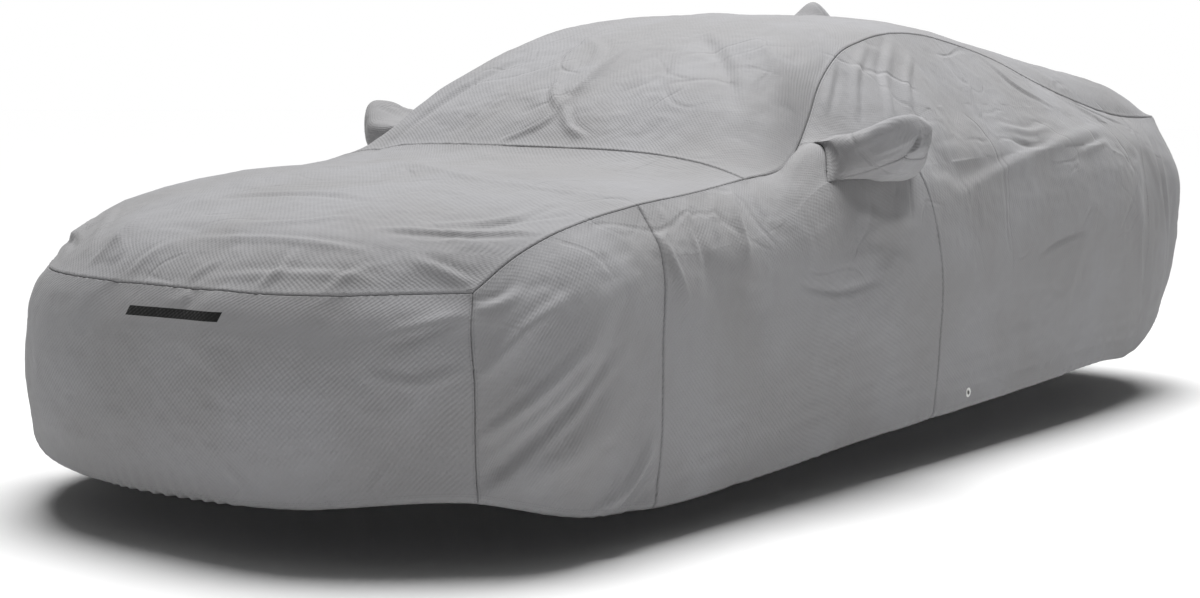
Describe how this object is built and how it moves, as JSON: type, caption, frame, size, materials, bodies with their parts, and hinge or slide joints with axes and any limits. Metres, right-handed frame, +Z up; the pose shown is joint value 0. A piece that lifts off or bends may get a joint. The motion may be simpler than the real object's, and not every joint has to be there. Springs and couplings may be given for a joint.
{
  "type": "car cover",
  "caption": "Fitted grey cloth cover for a fastback car, sewn from panels with pockets for the door mirrors and roof aerial, eyelets and an elastic hem.",
  "frame": {"origin": "point under the roof panel, on the centre line, where the car's roof carries the cover", "axes": "+Z up, -Y towards the nose of the car, +X towards the car's left side"},
  "size_m": [2.11, 4.8648, 1.3725],
  "materials": {
    "cover_cloth": "soft matt grey non-woven cloth with a fine embossed diamond grain",
    "eyelet_plastic": "smooth white moulded plastic"
  },
  "bodies": {
    "root": {"hood_panel": "cover_cloth", "roof_panel": "cover_cloth", "front_panel": "cover_cloth", "rear_panel": "cover_cloth", "left_fender_panel": "cover_cloth", "right_fender_panel": "cover_cloth", "left_door_panel": "cover_cloth", "right_door_panel": "cover_cloth", "left_quarter_panel": "cover_cloth", "right_quarter_panel": "cover_cloth", "left_eyelet_patch": "cover_cloth", "right_eyelet_patch": "cover_cloth", "left_mirror_pocket": "cover_cloth", "right_mirror_pocket": "cover_cloth", "left_mirror_gusset": "cover_cloth", "right_mirror_gusset": "cover_cloth", "aerial_pocket": "cover_cloth", "left_eyelet_ring": "eyelet_plastic", "right_eyelet_ring": "eyelet_plastic"}
  },
  "joints": []
}
